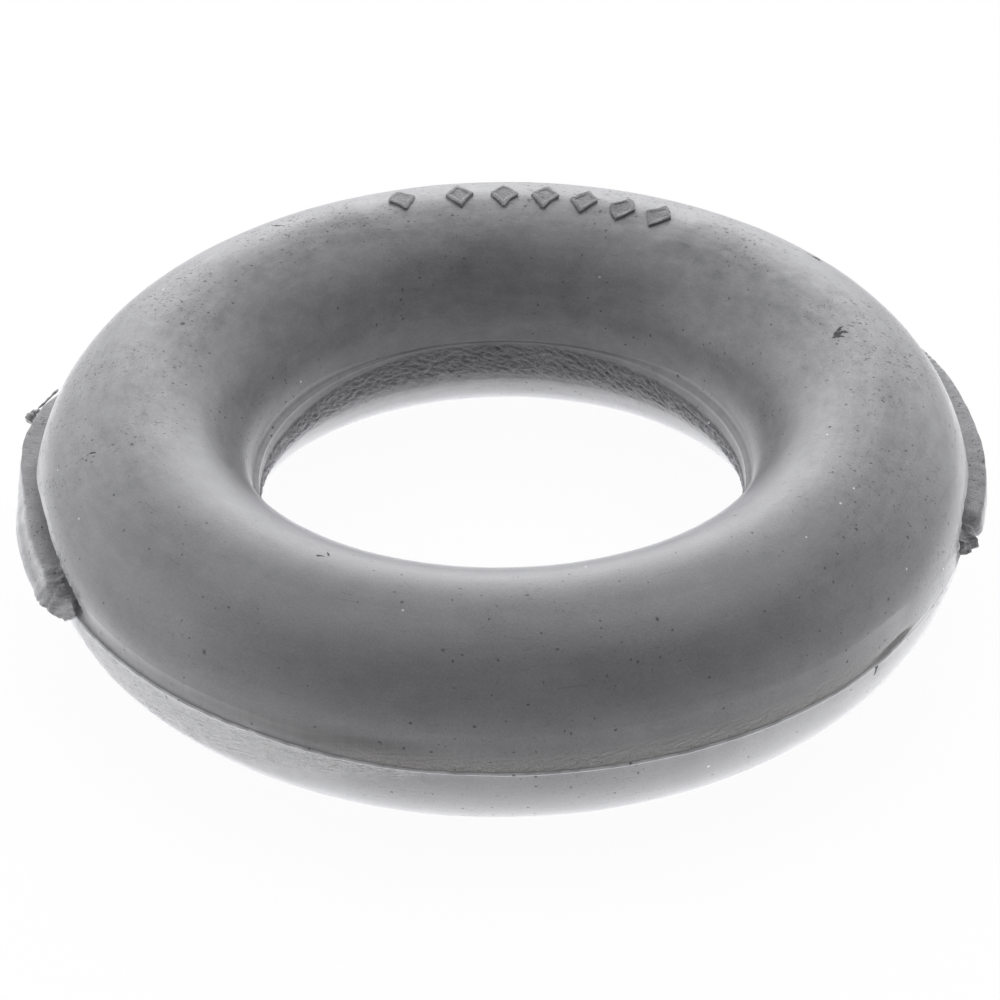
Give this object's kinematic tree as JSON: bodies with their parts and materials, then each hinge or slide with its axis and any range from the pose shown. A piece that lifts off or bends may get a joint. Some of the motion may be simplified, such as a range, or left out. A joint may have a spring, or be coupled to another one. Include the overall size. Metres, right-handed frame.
{
  "type": "exhaust hanger ring",
  "caption": "Thick moulded rubber ring that hangs an exhaust pipe between two hooks, with leftover moulding flash round its outer edge.",
  "frame": {"origin": "centre of the ring on the plane where the two mould halves met, half way up its section", "axes": "+Z along the ring's axis, up out of the hole as the ring lies flat; -Y towards the side where the flash was trimmed; +X to the right of it"},
  "size_m": [0.065, 0.0642, 0.0156],
  "materials": {
    "rubber": null
  },
  "bodies": {
    "root": {"hanger_ring": "rubber"}
  },
  "joints": []
}
